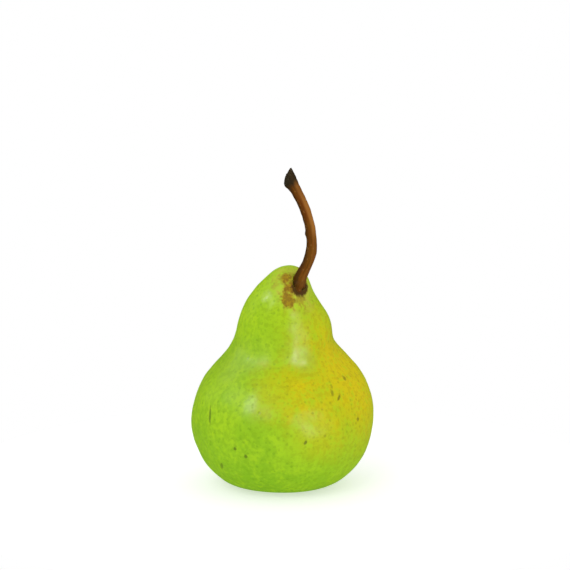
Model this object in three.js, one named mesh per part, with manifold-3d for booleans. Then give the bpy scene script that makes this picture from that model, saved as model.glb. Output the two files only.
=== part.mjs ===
// A green pear standing on its calyx end: the fruit, its stem, and the dried calyx in the basin underneath.
// Millimetres, +Z up. The origin is on the surface that the pear stands on, under the centre of its bounding box.
// The pear's front is towards -Y: its neck leans that way, and the stem bends over to -X.
import * as THREE from 'three';
import { mergeVertices } from 'three/addons/utils/BufferGeometryUtils.js';
import Module from 'manifold-3d';

const wasm = await Module();
wasm.setup();

// Driving dimensions
const BELLY_RADIUS = 33;
const BELLY_HEIGHT = 24.5;
const WAIST_RADIUS = 18.4;
const WAIST_HEIGHT = 52.5;
const NECK_RADIUS = 15.2;
const NECK_HEIGHT = 62.5;
const CROWN_HEIGHT = 79;          // along the fruit's leaning axis
const CROWN_RADIUS = 3.2;
const REST_INNER_RADIUS = 5.8;    // the flat ring that the pear stands on
const REST_OUTER_RADIUS = 12;
const BASIN_DEPTH = 5;
const STEM_PIT_DEPTH = 1.4;
const STEM_RADIUS = 1.8;
const STEM_FOOT_RADIUS = 2.45;
const STEM_END_RADIUS = 2.3;
const STEM_ROOT_DEPTH = 7;
const STEM_BREAK_FACING = [0.9, 0.28, -0.34];   // square to the break, into the wood that is kept
const STEM_BREAK_INSET = 1.5;     // from the middle of the end to the break
const CALYX_RADIUS = 2.1;
const CALYX_ROOT_DEPTH = 3;
const SEPAL_COUNT = 5;
const SEPAL_LENGTH = 3;
const SEPAL_WIDTH = 2.2;
const SEPAL_THICKNESS = 0.7;
const SEPAL_DROOP = 62;           // degrees below level
const SEPAL_CURL = 0.2;           // how far the tip curls out
const SEPAL_SEAT = 0.9;           // from the basin's roof down to where the sepals start
const GAP = 0.3;                  // between pieces that meet

// The fruit's relief fades out near its axis and near the rest ring, and the stem's near its axis.
const FRUIT_FADE_RADIUS = 4;
const FRUIT_FADE_HEIGHT = 12;
const STEM_FADE_RADIUS = 1;

const FRUIT_SEGMENTS = 64;
const STEM_SEGMENTS = 14;
const CALYX_SEGMENTS = 15;

const UP = new THREE.Vector3(0, 0, 1);
const radians = THREE.MathUtils.degToRad;
const smoothstep = THREE.MathUtils.smoothstep;

// The fruit's axis: upright through the belly, then leaning to the front and a little to the right in the neck.
const fruitAxis = new THREE.CatmullRomCurve3([
  new THREE.Vector3(0, 0, 0),
  new THREE.Vector3(0, 0, 20),
  new THREE.Vector3(0, -0.2, 38),
  new THREE.Vector3(0.5, -2.4, 54),
  new THREE.Vector3(1.4, -6.6, 65.5),
  new THREE.Vector3(5.2, -12, 74.4),
], false, 'catmullrom', 0.5);

// Swellings and hollows on the fruit: azimuth in degrees (0 right, 90 back, 180 left, -90 front), height along the
// axis, their half-widths round and along the fruit, and how far they rise (a hollow is negative).
const FRUIT_RELIEF = [
  { name: 'crown shoulder', azimuth: 105, height: 77, round: 8.5, along: 7, rise: 3.1 },
  { name: 'right crown slope', azimuth: 5, height: 76.5, round: 9, along: 5, rise: -2.9 },
  { name: 'right neck', azimuth: 0, height: 62, round: 12, along: 6, rise: 0.7 },
  { name: 'left neck', azimuth: 180, height: 61, round: 12, along: 5, rise: 0.25 },
  { name: 'right waist crease', azimuth: -5, height: 52.5, round: 14, along: 4.5, rise: -0.6 },
  { name: 'right hip', azimuth: -10, height: 40, round: 18, along: 14, rise: 0.6 },
  { name: 'left hip', azimuth: 183, height: 46, round: 16, along: 7.5, rise: -1.9 },
  { name: 'left belly flat', azimuth: 182, height: 33, round: 14, along: 5.5, rise: -0.5 },
  { name: 'back hip', azimuth: 75, height: 40, round: 18, along: 11, rise: 0.9 },
  { name: 'back left flat', azimuth: 140, height: 30, round: 18, along: 14, rise: -0.8 },
  { name: 'front belly cheek', azimuth: -60, height: 22, round: 14, along: 10, rise: 0.5 },
];

// The same for the stem: a knee, a leaf scar, the ribs of its foot and the lip round its broken end.
const STEM_RELIEF = [
  { name: 'knee', azimuth: -10, height: 21, round: 1.6, along: 2.6, rise: 0.38 },
  { name: 'leaf scar', azimuth: 175, height: 28, round: 1.2, along: 1.1, rise: 0.4 },
  { name: 'foot rib front', azimuth: -80, height: 8, round: 1.2, along: 3, rise: 0.4 },
  { name: 'foot rib left', azimuth: 165, height: 8.5, round: 1.2, along: 3, rise: 0.45 },
  { name: 'foot rib back', azimuth: 60, height: 8, round: 1.2, along: 3, rise: 0.35 },
  { name: 'end lip', azimuth: 178, height: 47, round: 1.8, along: 1.6, rise: 0.45 },
];

// The section of the fruit is not quite round: [lobes, size as a share of the radius, azimuth of a lobe in degrees].
const FRUIT_LOBES = [[2, 0.012, 20], [3, 0.01, -75], [5, 0.006, 10]];

function point(x, y) {
  return new THREE.Vector2(x, y);
}

// Samples stretches of an outline, each [curve, steps], end to end with no point twice.
function outlinePoints(stretches) {
  return stretches.flatMap(([curve, steps], index) => curve.getPoints(steps).slice(index === 0 ? 0 : 1));
}

// A solid of revolution about Z from an outline of (radius, height) points, as an indexed geometry that keeps the
// lathe's normals. The outline runs from the axis at the bottom to the axis at the top.
function turned(outline, segments) {
  const geometry = new THREE.LatheGeometry(outline, segments);
  geometry.rotateX(Math.PI / 2);
  return geometry;
}

// Moves a turned solid's vertices onto a curved axis. Heights become distances along the axis, and each level turns
// square to it. Levels past either end carry straight on.
function followAxis(geometry, axis) {
  const length = axis.getLength();
  const positions = geometry.getAttribute('position');
  const level = new THREE.Vector3();
  const turn = new THREE.Quaternion();
  for (let i = 0; i < positions.count; i++) {
    const height = positions.getZ(i);
    const share = THREE.MathUtils.clamp(height / length, 0, 1);
    const tangent = axis.getTangentAt(share);
    turn.setFromUnitVectors(UP, tangent);
    level.set(positions.getX(i), positions.getY(i), 0).applyQuaternion(turn);
    level.add(axis.getPointAt(share)).addScaledVector(tangent, height - share * length);
    positions.setXYZ(i, level.x, level.y, level.z);
  }
  return geometry;
}

function toManifold(geometry) {
  const bare = new THREE.BufferGeometry();
  bare.setAttribute('position', geometry.getAttribute('position'));
  bare.setIndex(geometry.index);
  const merged = mergeVertices(bare, 1e-3);
  return new wasm.Manifold(new wasm.Mesh({
    numProp: 3,
    vertProperties: merged.getAttribute('position').array,
    triVerts: new Uint32Array(merged.index.array),
  }));
}

function toGeometry(manifold) {
  const mesh = manifold.getMesh();
  const geometry = new THREE.BufferGeometry();
  geometry.setAttribute('position', new THREE.BufferAttribute(mesh.vertProperties, 3));
  geometry.setIndex(new THREE.BufferAttribute(mesh.triVerts, 1));
  geometry.computeVertexNormals();
  return geometry;
}

// The fruit's outline, from the roof of the calyx basin, over the flat rest ring, round the belly, up the waist and
// neck and over the crown into the stem pit.
function fruitOutline() {
  const basin = new THREE.CubicBezierCurve(
    point(0, BASIN_DEPTH),
    point(0.55 * REST_INNER_RADIUS, BASIN_DEPTH),
    point(0.7 * REST_INNER_RADIUS, 0),
    point(REST_INNER_RADIUS, 0),
  );
  const rest = new THREE.LineCurve(point(REST_INNER_RADIUS, 0), point(REST_OUTER_RADIUS, 0));
  const side = new THREE.SplineCurve([
    point(REST_OUTER_RADIUS, 0),
    point(19.5, 1.2),
    point(24.2, 4.2),
    point(28.4, 9.2),
    point(31.4, 15.8),
    point(BELLY_RADIUS, BELLY_HEIGHT),
    point(31.5, 33.5),
    point(27.6, 41.4),
    point(22.4, 47.4),
    point(WAIST_RADIUS, WAIST_HEIGHT),
    point(16.8, 57.5),
    point(NECK_RADIUS, NECK_HEIGHT),
    point(13.2, 67.5),
    point(10.8, 72.5),
    point(7.4, 77),
    point(CROWN_RADIUS, CROWN_HEIGHT),
  ]);
  const pit = new THREE.QuadraticBezierCurve(
    point(CROWN_RADIUS, CROWN_HEIGHT),
    point(CROWN_RADIUS / 2, CROWN_HEIGHT - 0.2),
    point(0, CROWN_HEIGHT - STEM_PIT_DEPTH),
  );
  return outlinePoints([[basin, 5], [rest, 1], [side, 34], [pit, 2]]);
}

// How far a surface stands out from its turned shape at an azimuth (radians), height and radius.
function reliefAt(relief, azimuth, height, radius) {
  const rises = relief.map((swelling) => {
    const turn = Math.atan2(
      Math.sin(azimuth - radians(swelling.azimuth)),
      Math.cos(azimuth - radians(swelling.azimuth)),
    );
    const round = turn * radius / swelling.round;
    const along = (height - swelling.height) / swelling.along;
    return swelling.rise * Math.exp(-round * round - along * along);
  });
  return rises.reduce((sum, rise) => sum + rise, 0);
}

// Moves a turned solid's vertices along its normals by its relief, which fades out as fade(radius, height) says.
function addRelief(geometry, relief, fade) {
  const positions = geometry.getAttribute('position');
  const normals = geometry.getAttribute('normal');
  const vertex = new THREE.Vector3();
  const normal = new THREE.Vector3();
  for (let i = 0; i < positions.count; i++) {
    vertex.fromBufferAttribute(positions, i);
    normal.fromBufferAttribute(normals, i);
    const radius = Math.hypot(vertex.x, vertex.y);
    const azimuth = Math.atan2(vertex.y, vertex.x);
    const rise = fade(radius, vertex.z) * reliefAt(relief, azimuth, vertex.z, radius);
    vertex.addScaledVector(normal, rise);
    positions.setXYZ(i, vertex.x, vertex.y, vertex.z);
  }
  return geometry;
}

// Makes a turned solid's section a little uneven.
function addLobes(geometry, lobes) {
  const positions = geometry.getAttribute('position');
  for (let i = 0; i < positions.count; i++) {
    const x = positions.getX(i);
    const y = positions.getY(i);
    const azimuth = Math.atan2(y, x);
    const swell = lobes.reduce((sum, [count, size, at]) => sum + size * Math.cos(count * (azimuth - radians(at))), 1);
    positions.setXY(i, x * swell, y * swell);
  }
  return geometry;
}

// Both the relief and the lobes leave the rest ring flat.
function fruitSolid() {
  const fade = (radius, height) => smoothstep(radius, 0, FRUIT_FADE_RADIUS) * smoothstep(height, 0, FRUIT_FADE_HEIGHT);
  const bare = turned(fruitOutline(), FRUIT_SEGMENTS);
  return toManifold(followAxis(addLobes(addRelief(bare, FRUIT_RELIEF, fade), FRUIT_LOBES), fruitAxis));
}

// The stem's axis: out of the crown square to it, up and to the right, then bending over to the left.
function stemAxis() {
  const crown = fruitAxis.getPointAt(1);
  const inward = fruitAxis.getTangentAt(1).negate();
  const from = (x, y, z) => crown.clone().add(new THREE.Vector3(x, y, z));
  return new THREE.CatmullRomCurve3([
    from(-0.6, 0, 0).addScaledVector(inward, STEM_ROOT_DEPTH),
    from(0, -0.2, 0),
    from(1.7, -1.4, 4.5),
    from(3.7, -2.6, 9),
    from(4.9, -3.5, 14.6),
    from(4.6, -4.6, 20.4),
    from(2.7, -5.6, 27.8),
    from(-0.1, -6, 33.8),
    from(-4.1, -5.5, 41.2),
  ], false, 'catmullrom', 0.5);
}

// The stem: a root sunk in the flesh, a flared foot, a slim shaft and an end that broke off the spur at a slant.
// The clearance swells it all round, for the socket that it leaves in the fruit.
function stemSolid(clearance) {
  const axis = stemAxis();
  const length = axis.getLength();
  const outline = new THREE.SplineCurve([
    point(0.75 * STEM_RADIUS, 0),
    point(0.95 * STEM_RADIUS, 0.6 * STEM_ROOT_DEPTH),
    point(STEM_FOOT_RADIUS, STEM_ROOT_DEPTH),
    point(0.9 * STEM_FOOT_RADIUS, STEM_ROOT_DEPTH + 2.4),
    point(1.12 * STEM_RADIUS, STEM_ROOT_DEPTH + 6),
    point(1.02 * STEM_RADIUS, STEM_ROOT_DEPTH + 11),
    point(0.97 * STEM_RADIUS, 0.6 * length),
    point(1.02 * STEM_RADIUS, length - 8),
    point(STEM_END_RADIUS, length - 3),
    point(STEM_END_RADIUS, length),
  ]);
  const grown = outline.getPoints(32).map((at) => point(at.x + clearance, at.y));
  const profile = [point(0, -clearance), ...grown, point(0, length)];
  profile[1].y -= clearance;
  const fade = (radius) => smoothstep(radius, 0, STEM_FADE_RADIUS);
  const bare = addRelief(turned(profile, STEM_SEGMENTS), STEM_RELIEF, fade);
  const whole = toManifold(followAxis(bare, axis));
  const end = axis.getPointAt(1).dot(new THREE.Vector3(...STEM_BREAK_FACING));
  return whole.trimByPlane(STEM_BREAK_FACING, end + STEM_BREAK_INSET);
}

// One sepal, hanging outward from the calyx's rim, with a pointed tip that curls out.
function sepalSolid(azimuth) {
  const side = new THREE.SplineCurve([
    point(0.32 * SEPAL_WIDTH, 0),
    point(0.5 * SEPAL_WIDTH, 0.3 * SEPAL_LENGTH),
    point(0.42 * SEPAL_WIDTH, 0.62 * SEPAL_LENGTH),
    point(0.12 * SEPAL_WIDTH, SEPAL_LENGTH),
  ]).getPoints(7);
  const mirrored = side.map((at) => point(-at.x, at.y)).reverse();
  const geometry = new THREE.ExtrudeGeometry(
    new THREE.Shape([...side, ...mirrored]),
    { depth: SEPAL_THICKNESS, bevelEnabled: false },
  );
  const positions = geometry.getAttribute('position');
  for (let i = 0; i < positions.count; i++) {
    const share = positions.getY(i) / SEPAL_LENGTH;
    positions.setZ(i, positions.getZ(i) + SEPAL_CURL * share * share);
  }
  geometry.rotateX(-radians(SEPAL_DROOP));
  geometry.translate(0, 0.58 * CALYX_RADIUS, BASIN_DEPTH - SEPAL_SEAT);
  geometry.rotateZ(azimuth);
  return toManifold(geometry);
}

// The calyx: a dry cup with five sepals round its mouth and the remains of the styles inside. It faces down in the
// basin, and its root fills the socket.
function calyxSolid() {
  const roof = BASIN_DEPTH;
  const cup = toManifold(turned([
    point(0, roof + 0.4),
    point(0.5 * CALYX_RADIUS, roof + 0.2),
    point(0.6 * CALYX_RADIUS, roof - 1.1),
    point(0.82 * CALYX_RADIUS, roof - 1.4),
    point(CALYX_RADIUS, roof - 0.8),
    point(CALYX_RADIUS, roof + 1.2),
    point(0.7 * CALYX_RADIUS, roof + CALYX_ROOT_DEPTH),
    point(0, roof + CALYX_ROOT_DEPTH),
  ], CALYX_SEGMENTS));
  const styles = toManifold(turned([
    point(0, roof - 1.9),
    point(0.35, roof - 1.8),
    point(0.5, roof + 0.6),
    point(0, roof + 0.6),
  ], 8));
  const sepals = Array.from({ length: SEPAL_COUNT }, (_, i) => sepalSolid(2 * Math.PI * (i + 0.3) / SEPAL_COUNT));
  return sepals.reduce((sum, sepal) => sum.add(sepal), cup.add(styles));
}

// The socket that the calyx's root fills, with the gap all round it.
function calyxSocket() {
  return toManifold(turned([
    point(0, 0.3 * BASIN_DEPTH),
    point(CALYX_RADIUS + GAP, 0.3 * BASIN_DEPTH),
    point(CALYX_RADIUS + GAP, BASIN_DEPTH + 1.3),
    point(0.7 * CALYX_RADIUS + GAP, BASIN_DEPTH + CALYX_ROOT_DEPTH + GAP),
    point(0, BASIN_DEPTH + CALYX_ROOT_DEPTH + GAP),
  ], CALYX_SEGMENTS));
}

function mesh(name, manifold, colour, roughness) {
  const made = new THREE.Mesh(
    toGeometry(manifold),
    new THREE.MeshStandardMaterial({ color: colour, roughness, metalness: 0 }),
  );
  made.name = name;
  return made;
}

const fruit = fruitSolid().subtract(stemSolid(GAP)).subtract(calyxSocket());
const pear = new THREE.Group();
pear.add(
  mesh('fruit', fruit, 0xa0c428, 0.42),
  mesh('stem', stemSolid(0), 0x6f4522, 0.6),
  mesh('calyx', calyxSolid(), 0x4a3a20, 0.85),
);

const middle = new THREE.Box3().setFromObject(pear).getCenter(new THREE.Vector3());
pear.position.set(-middle.x, -middle.y, 0);

export default pear;
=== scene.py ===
"""A green pear with a yellow blush, dressed over its solids: the skin, the stem and the dried calyx.

Lengths are millimetres in the part's frame, +Z up and the pear's front towards -Y. Only the properties and
the stage are in metres. The other forms become metres when their meshes are made.
"""

import math

import bpy
import numpy as np
from bpy.props import FloatProperty, FloatVectorProperty, IntProperty, PointerProperty
from bpy.types import Operator, Panel, PropertyGroup
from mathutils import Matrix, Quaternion, Vector


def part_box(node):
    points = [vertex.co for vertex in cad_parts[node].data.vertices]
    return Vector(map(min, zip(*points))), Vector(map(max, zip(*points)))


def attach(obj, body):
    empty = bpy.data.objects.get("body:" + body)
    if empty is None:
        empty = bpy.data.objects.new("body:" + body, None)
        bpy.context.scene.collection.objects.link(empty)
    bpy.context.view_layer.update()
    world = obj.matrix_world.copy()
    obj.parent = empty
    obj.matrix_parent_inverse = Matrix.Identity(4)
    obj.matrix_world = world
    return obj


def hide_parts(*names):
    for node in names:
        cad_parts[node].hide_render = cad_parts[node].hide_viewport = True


bl_info = {
    "name": "Dessert Pear",
    "version": (1, 0, 0),
    "blender": (4, 5, 0),
    "location": "3D View > Sidebar > Pear",
    "description": "Grows a green pear with its stem and dried calyx, and lights it on a white floor",
    "category": "Object",
}

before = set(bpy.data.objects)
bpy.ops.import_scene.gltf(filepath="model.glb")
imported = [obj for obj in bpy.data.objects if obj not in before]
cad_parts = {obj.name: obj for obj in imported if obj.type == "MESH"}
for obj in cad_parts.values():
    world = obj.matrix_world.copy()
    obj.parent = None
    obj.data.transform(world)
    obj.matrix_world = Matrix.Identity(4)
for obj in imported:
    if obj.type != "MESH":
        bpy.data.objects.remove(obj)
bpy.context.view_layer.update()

MM = 0.001
UP = np.array([0.0, 0.0, 1.0])

# Columns round a form and steps along it.
FRUIT_DETAIL = (300, 250)
STEM_DETAIL = (96, 420)
FITTING_DETAIL = (128, 120)
AXIS_POINTS = 1601
FLOOR_SIDES = 128
SEPAL_SEED = 40
STAMEN_SEED = 41
# The most that a form's size may differ from its solid's.
FIT_TOLERANCE = 1.5

# In metres. The camera looks over the crown, which leaves the pear low in the frame.
LIGHT_AIM_HEIGHT = 0.045
CAMERA_PIVOT_HEIGHT = 0.04
CAMERA_AIM = (0.0009, 0, 0.0728)

# The fruit's form. Heights are distances along its leaning axis.
REST_INNER_RADIUS = 5.8
REST_OUTER_RADIUS = 12.0
CROWN_RADIUS = 3.2
FRUIT_AXIS = [(0, 0, 0), (0, 0, 20), (0, -0.2, 38), (0.5, -2.4, 54), (1.4, -6.6, 65.5), (5.2, -12, 74.4)]

# How far the bends of the outline and of the two axes are softened.
OUTLINE_EASE = 2.6
FRUIT_EASE = 4.0
STEM_EASE = 0.8

# Swellings and hollows: azimuth in degrees (0 right, 90 back, 180 left, -90 front), height, half-width
# round the fruit, half-width along it, and rise.
FRUIT_RELIEF = [
    (105, 77, 8.5, 7, 3.1),  # crown shoulder
    (5, 76.5, 9, 5, -2.9),  # right crown slope
    (0, 62, 12, 6, 0.7),  # right neck
    (180, 61, 12, 5, 0.25),  # left neck
    (-5, 52.5, 14, 4.5, -0.6),  # right waist crease
    (-10, 40, 18, 14, 0.6),  # right hip
    (183, 46, 16, 7.5, -1.9),  # left hip
    (182, 33, 14, 5.5, -0.5),  # left belly flat
    (75, 40, 18, 11, 0.9),  # back hip
    (140, 30, 18, 14, -0.8),  # back left flat
    (-60, 22, 14, 10, 0.5),  # front belly cheek
]
FRUIT_LOBES = [(2, 0.012, 20), (3, 0.01, -75), (5, 0.006, 10)]

# Finer forms of the skin, in the same terms.
SKIN_RELIEF = [
    (-77, 49.5, 9, 3, -0.9),  # front waist dip
    (-74, 61, 8, 9, -0.65),  # front neck flat
]

STEM_RELIEF = [
    (-10, 21, 1.6, 2.6, 0.38),  # knee
    (175, 28, 1.2, 1.1, 0.4),  # leaf scar
    (-80, 8, 1.2, 3, 0.4),  # foot rib front
    (165, 8.5, 1.2, 3, 0.45),  # foot rib left
    (60, 8, 1.2, 3, 0.35),  # foot rib back
    (178, 47, 1.8, 1.6, 0.45),  # end lip
]
# The stem's course from the crown, and the way that its broken end faces into the wood.
STEM_COURSE = [
    (0, -0.2, 0),
    (1.7, -1.4, 4.5),
    (3.7, -2.6, 9),
    (4.9, -3.5, 14.6),
    (4.6, -4.6, 20.4),
    (2.7, -5.6, 27.8),
    (-0.1, -6, 33.8),
    (-4.1, -5.5, 41.2),
]
STEM_BREAK_FACING = np.array([0.84, 0.26, -0.47])
STEM_BREAK_INSET = 1.5

# Small marks on the skin: azimuth, height, half-length, half-width, degrees from upright, strength.
SKIN_MARKS = [
    (-50.5, 42.6, 0.9, 0.5, 10, 0.4),
    (-51.5, 40.4, 1.3, 0.6, 14, 0.6),
    (-48, 38.2, 1.3, 0.5, 48, 0.8),
    (-76.3, 22.8, 1.0, 0.5, 25, 0.85),
    (-121, 19.6, 0.7, 0.65, 0, 0.9),
    (-113.5, 17, 0.75, 0.65, 30, 0.85),
    (-142, 30, 3.1, 0.6, -13, 0.75),
    (-136.5, 11.6, 1.6, 0.7, 30, 0.7),
    (-32.4, 43.6, 0.95, 0.8, 0, 0.7),
    (-21.6, 43.1, 0.5, 0.4, 0, 0.4),
    (-33.6, 27.9, 0.8, 0.7, 60, 0.7),
    (64, 33, 1.8, 0.45, 40, 0.7),
    (118, 21, 0.8, 0.7, 0, 0.7),
    (150, 44, 1.3, 0.4, -30, 0.6),
    (35, 17, 0.9, 0.6, 10, 0.6),
]

# The blush on the sunny side: each patch's middle, how far it reaches, how far it is full, and how strong.
BLUSH_PATCHES = [
    ((26, -6, 42), 40, 6, 1.0),  # right hip
    ((0, -26, 40), 16, 3, 0.38),  # front hip
    ((12, -30, 27), 17, 3, 0.33),  # right belly
    ((10, -14, 67), 17, 3, 0.44),  # right neck
]

# Where the skin is duller: each patch's middle, reach and full reach, and what it adds to the roughness.
DULL_PATCHES = [
    ((-11, -16.5, 49.8), 9.5, 4, 0.12),  # left crease
    ((-19, -21, 40.5), 7, 2, 0.1),  # left hip
    ((5, -12, 74.5), 11.5, 9.4, 0.25),  # stem foot
]
# Where the skin is waxier, at the places where highlights fall: the coat is thicker there, and the skin's
# colour is paler as a painted highlight. Each patch's middle, reach and full reach, and how thick it is.
WAX_AND_PAINTED_HIGHLIGHT_PATCHES = [
    ((7.9, -18.6, 49.3), 6.3, 2.6, 1.0),  # front crease
    ((6.5, -17.5, 61), 7, 3.5, 0.28),  # front neck
    ((-17, -13, 47), 11, 5, 0.6),  # left waist
    ((-5.9, -14.8, 71.4), 3.2, 1.2, 1.0),  # crown
]

# Russet patches round the stem's foot: offset from the foot, radius, raggedness, strength.
RUSSET_PATCHES = [
    ((-3.9, -2.0, 3.1), 2.6, 0.25, 0.95),
    ((-2.6, -3.5, 0.4), 2.6, 0.3, 0.95),
    ((-3.3, -5.3, -3.7), 2.6, 0.5, 0.9),
    ((1.3, -3.1, -4.6), 2.2, 0.9, 0.5),
    ((-7.0, -2.2, 1.4), 1.8, 0.8, 0.25),
    ((2.0, 6.5, 3.5), 3.0, 0.6, 0.5),
]


def linear(red, green, blue):
    """A display colour, 0 to 255 a channel, as scene-linear values."""
    return tuple(((v / 255 + 0.055) / 1.055) ** 2.4 if v > 10 else v / 3294.6 for v in (red, green, blue))


# ---------------- settings


def LengthProperty(name, description, default, **limits):
    """A length in metres."""
    return FloatProperty(name=name, description=description, default=default, unit="LENGTH", **limits)


def ColourProperty(name, where, *display):
    """A colour. It says where the colour is, and gives its default as display values."""
    return FloatVectorProperty(
        name=name, description=f"Colour of {where}", default=linear(*display), subtype="COLOR"
    )


def PowerProperty(name, default):
    """A light's power in watts."""
    return FloatProperty(name=name, description="Its power in watts", default=default, min=0, unit="POWER")


class PearFruitSettings(PropertyGroup):
    """Sizes and finish of the fruit."""

    belly_radius: LengthProperty("Belly radius", "Half the fruit's width", 0.033, min=0.02)
    belly_height: LengthProperty("Belly height", "Height of the widest level", 0.0245, min=0.015)
    waist_radius: LengthProperty("Waist radius", "Radius where the belly runs into the neck", 0.0184)
    waist_height: LengthProperty("Waist height", "Height of the waist along the axis", 0.0525)
    neck_radius: LengthProperty("Neck radius", "Radius halfway up the neck", 0.0152)
    neck_height: LengthProperty("Neck height", "Height of the neck's middle along the axis", 0.0625)
    crown_height: LengthProperty("Crown height", "Length of the axis up to the crown", 0.079)
    basin_depth: LengthProperty("Basin depth", "Depth of the basin that holds the calyx", 0.005)
    pit_depth: LengthProperty("Stem pit depth", "Depth of the dip that the stem grows from", 0.0014)
    unevenness: LengthProperty("Unevenness", "Height of the broad swells in the skin", 0.00015)
    green: ColourProperty("Green", "the skin's ground", 158, 200, 26)
    deep_green: ColourProperty("Deep green", "the underside and the mottling", 122, 176, 22)
    pale_green: ColourProperty("Pale green", "the lighter mottling", 174, 209, 20)
    blush: ColourProperty("Blush", "the sunny side", 222, 201, 0)
    dot: ColourProperty("Dots", "the pores on the green", 104, 150, 0)
    sunny_dot: ColourProperty("Sunny dots", "the pores on the blush", 160, 138, 0)
    # Partly the skin's own olive tint round the stem, partly a painted sheen on the crown, so it is lighter
    # than that tint.
    haze_and_painted_sheen: ColourProperty("Olive haze", "the skin round the stem", 200, 196, 60)
    russet: ColourProperty("Russet", "the corky patches", 128, 78, 0)
    pale_russet: ColourProperty("Pale russet", "the russet's lighter flecks", 160, 114, 0)
    dark_russet: ColourProperty("Dark russet", "the russet close to the stem", 84, 50, 0)
    scar: ColourProperty("Marks on blush", "the small marks on the blush", 126, 110, 0)
    green_scar: ColourProperty("Marks on green", "the small marks on the green", 90, 116, 0)
    roughness: FloatProperty(
        name="Roughness", description="Roughness of the skin", default=0.3, min=0, max=1, subtype="FACTOR"
    )


class PearStemSettings(PropertyGroup):
    """Sizes and finish of the stem."""

    radius: LengthProperty("Radius", "Radius of the shaft", 0.0018, min=0.0008)
    foot_radius: LengthProperty("Foot radius", "Radius where the stem meets the flesh", 0.00245)
    end_radius: LengthProperty("End radius", "Radius of the knob at the broken end", 0.0023)
    root_depth: LengthProperty("Root depth", "Length that is sunk in the flesh", 0.007)
    bark: ColourProperty("Bark", "most of the bark", 116, 72, 0)
    red_bark: ColourProperty("Red bark", "the bark's redder stretches", 114, 58, 0)
    # A painted highlight: the lighter colour down the stem's right side.
    bark_painted_highlight: ColourProperty("Bright bark", "the bark's sunny side", 172, 112, 44)
    # Also painted shade down the stem's left side, besides the grain's and the foot's own dark colour.
    dark_bark_and_painted_shade: ColourProperty("Dark bark", "the bark's shaded side and foot", 54, 34, 0)
    warts: ColourProperty("Warts", "the small warts", 160, 116, 62)
    raw_wood: ColourProperty("Raw wood", "the torn fibres", 96, 88, 62)
    broken: ColourProperty("Broken end", "the weathered end", 36, 34, 18)


class PearCalyxSettings(PropertyGroup):
    """Sizes and finish of the dried calyx."""

    cup_radius: LengthProperty("Cup radius", "Outer radius of the cup", 0.0021)
    sepal_count: IntProperty(name="Sepals", description="Number of sepals", default=5, min=3, max=7)
    sepal_length: LengthProperty("Sepal length", "Length of a sepal", 0.003)
    sepal_width: LengthProperty("Sepal width", "Width of a sepal at its widest", 0.0022)
    stamen_count: IntProperty(name="Stamens", description="Number of stamens", default=16, min=0, max=40)
    dry: ColourProperty("Dry brown", "the sepals", 96, 74, 38)
    dark: ColourProperty("Dark brown", "the cup and the folds", 38, 28, 14)


class PearStageSettings(PropertyGroup):
    """The floor, the light and the camera."""

    camera_elevation: FloatProperty(
        name="Elevation", description="Camera's height above level, as an angle", default=math.radians(12),
        subtype="ANGLE"
    )
    camera_distance: LengthProperty("Distance", "From the camera to the fruit's middle", 0.7)
    lens: FloatProperty(name="Lens", description="Focal length", default=122.57, min=20, unit="CAMERA")
    ambient: FloatProperty(name="Surround", description="Strength of light all round", default=0.86, min=0)
    reflected_room: FloatProperty(
        name="Reflected room", description="Strength of the room in reflections", default=0.06, min=0
    )
    key: PowerProperty("Key light", 1.6)
    left_box: PowerProperty("Left softbox", 4.4)
    right_box: PowerProperty("Right softbox", 0.72)
    neck_box: PowerProperty("Neck softbox", 0.38)
    low_box: PowerProperty("Low softbox", 0.3)
    crown_box: PowerProperty("Crown softbox", 0.5)
    side_box: PowerProperty("Side softbox", 0.4)
    floor_radius: LengthProperty("Floor radius", "Reach of the white table", 0.125)
    floor: FloatVectorProperty(
        name="Floor", description="Colour of the floor", subtype="COLOR", default=(0.64, 0.64, 0.64)
    )
    floor_glow: FloatProperty(name="Floor glow", description="Light of its own", default=0.51, min=0)


# ---------------- form


def millimetres(length):
    """A length property in this file's unit."""
    return length / MM


def unit(vectors):
    """Vectors brought to length 1."""
    return vectors / np.maximum(np.linalg.norm(vectors, axis=-1, keepdims=True), 1e-9)


def smoothstep(x, low, high):
    """0 to 1 as x goes from low to high, level at both ends."""
    share = np.clip((x - low) / (high - low), 0, 1)
    return share * share * (3 - 2 * share)


def spline(points, steps, run_on=False):
    """A uniform Catmull-Rom spline through points. With run_on its ends carry on straight instead of
    stopping square."""
    points = np.asarray(points, float)
    before = 2 * points[0] - points[1] if run_on else points[0]
    after = 2 * points[-1] - points[-2] if run_on else points[-1]
    padded = np.vstack([before, points, after])
    place = np.linspace(0, 1, steps) * (len(points) - 1)
    first = np.minimum(place.astype(int), len(points) - 2)
    w = (place - first)[:, None]
    p0, p1, p2, p3 = (padded[first + k] for k in range(4))
    leave = (p2 - p0) / 2
    arrive = (p3 - p1) / 2
    cubed = 2 * p1 - 2 * p2 + leave + arrive
    squared = 3 * p2 - 3 * p1 - 2 * leave - arrive
    return cubed * w**3 + squared * w**2 + leave * w + p1


def bezier(corners, steps):
    """The Bezier curve of some corner points."""
    share = np.linspace(0, 1, steps)[:, None]
    level = [np.array(corner, float) for corner in corners]
    while len(level) > 1:
        level = [(1 - share) * one + share * other for one, other in zip(level, level[1:])]
    return level[0]


def eased(line, reach):
    """A line of points with its bends softened over a reach. Its ends stay where they are."""
    step = np.linalg.norm(np.diff(line, axis=0), axis=1).mean()
    width = int(3 * reach / step)
    kernel = np.exp(-((np.arange(-width, width + 1) * step / reach) ** 2) / 2)
    kernel /= kernel.sum()
    before = 2 * line[0] - line[width:0:-1]
    after = 2 * line[-1] - line[-2:-width - 2:-1]
    padded = np.vstack([before, line, after])
    return np.stack([np.convolve(column, kernel, "valid") for column in padded.T], axis=-1)


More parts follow.
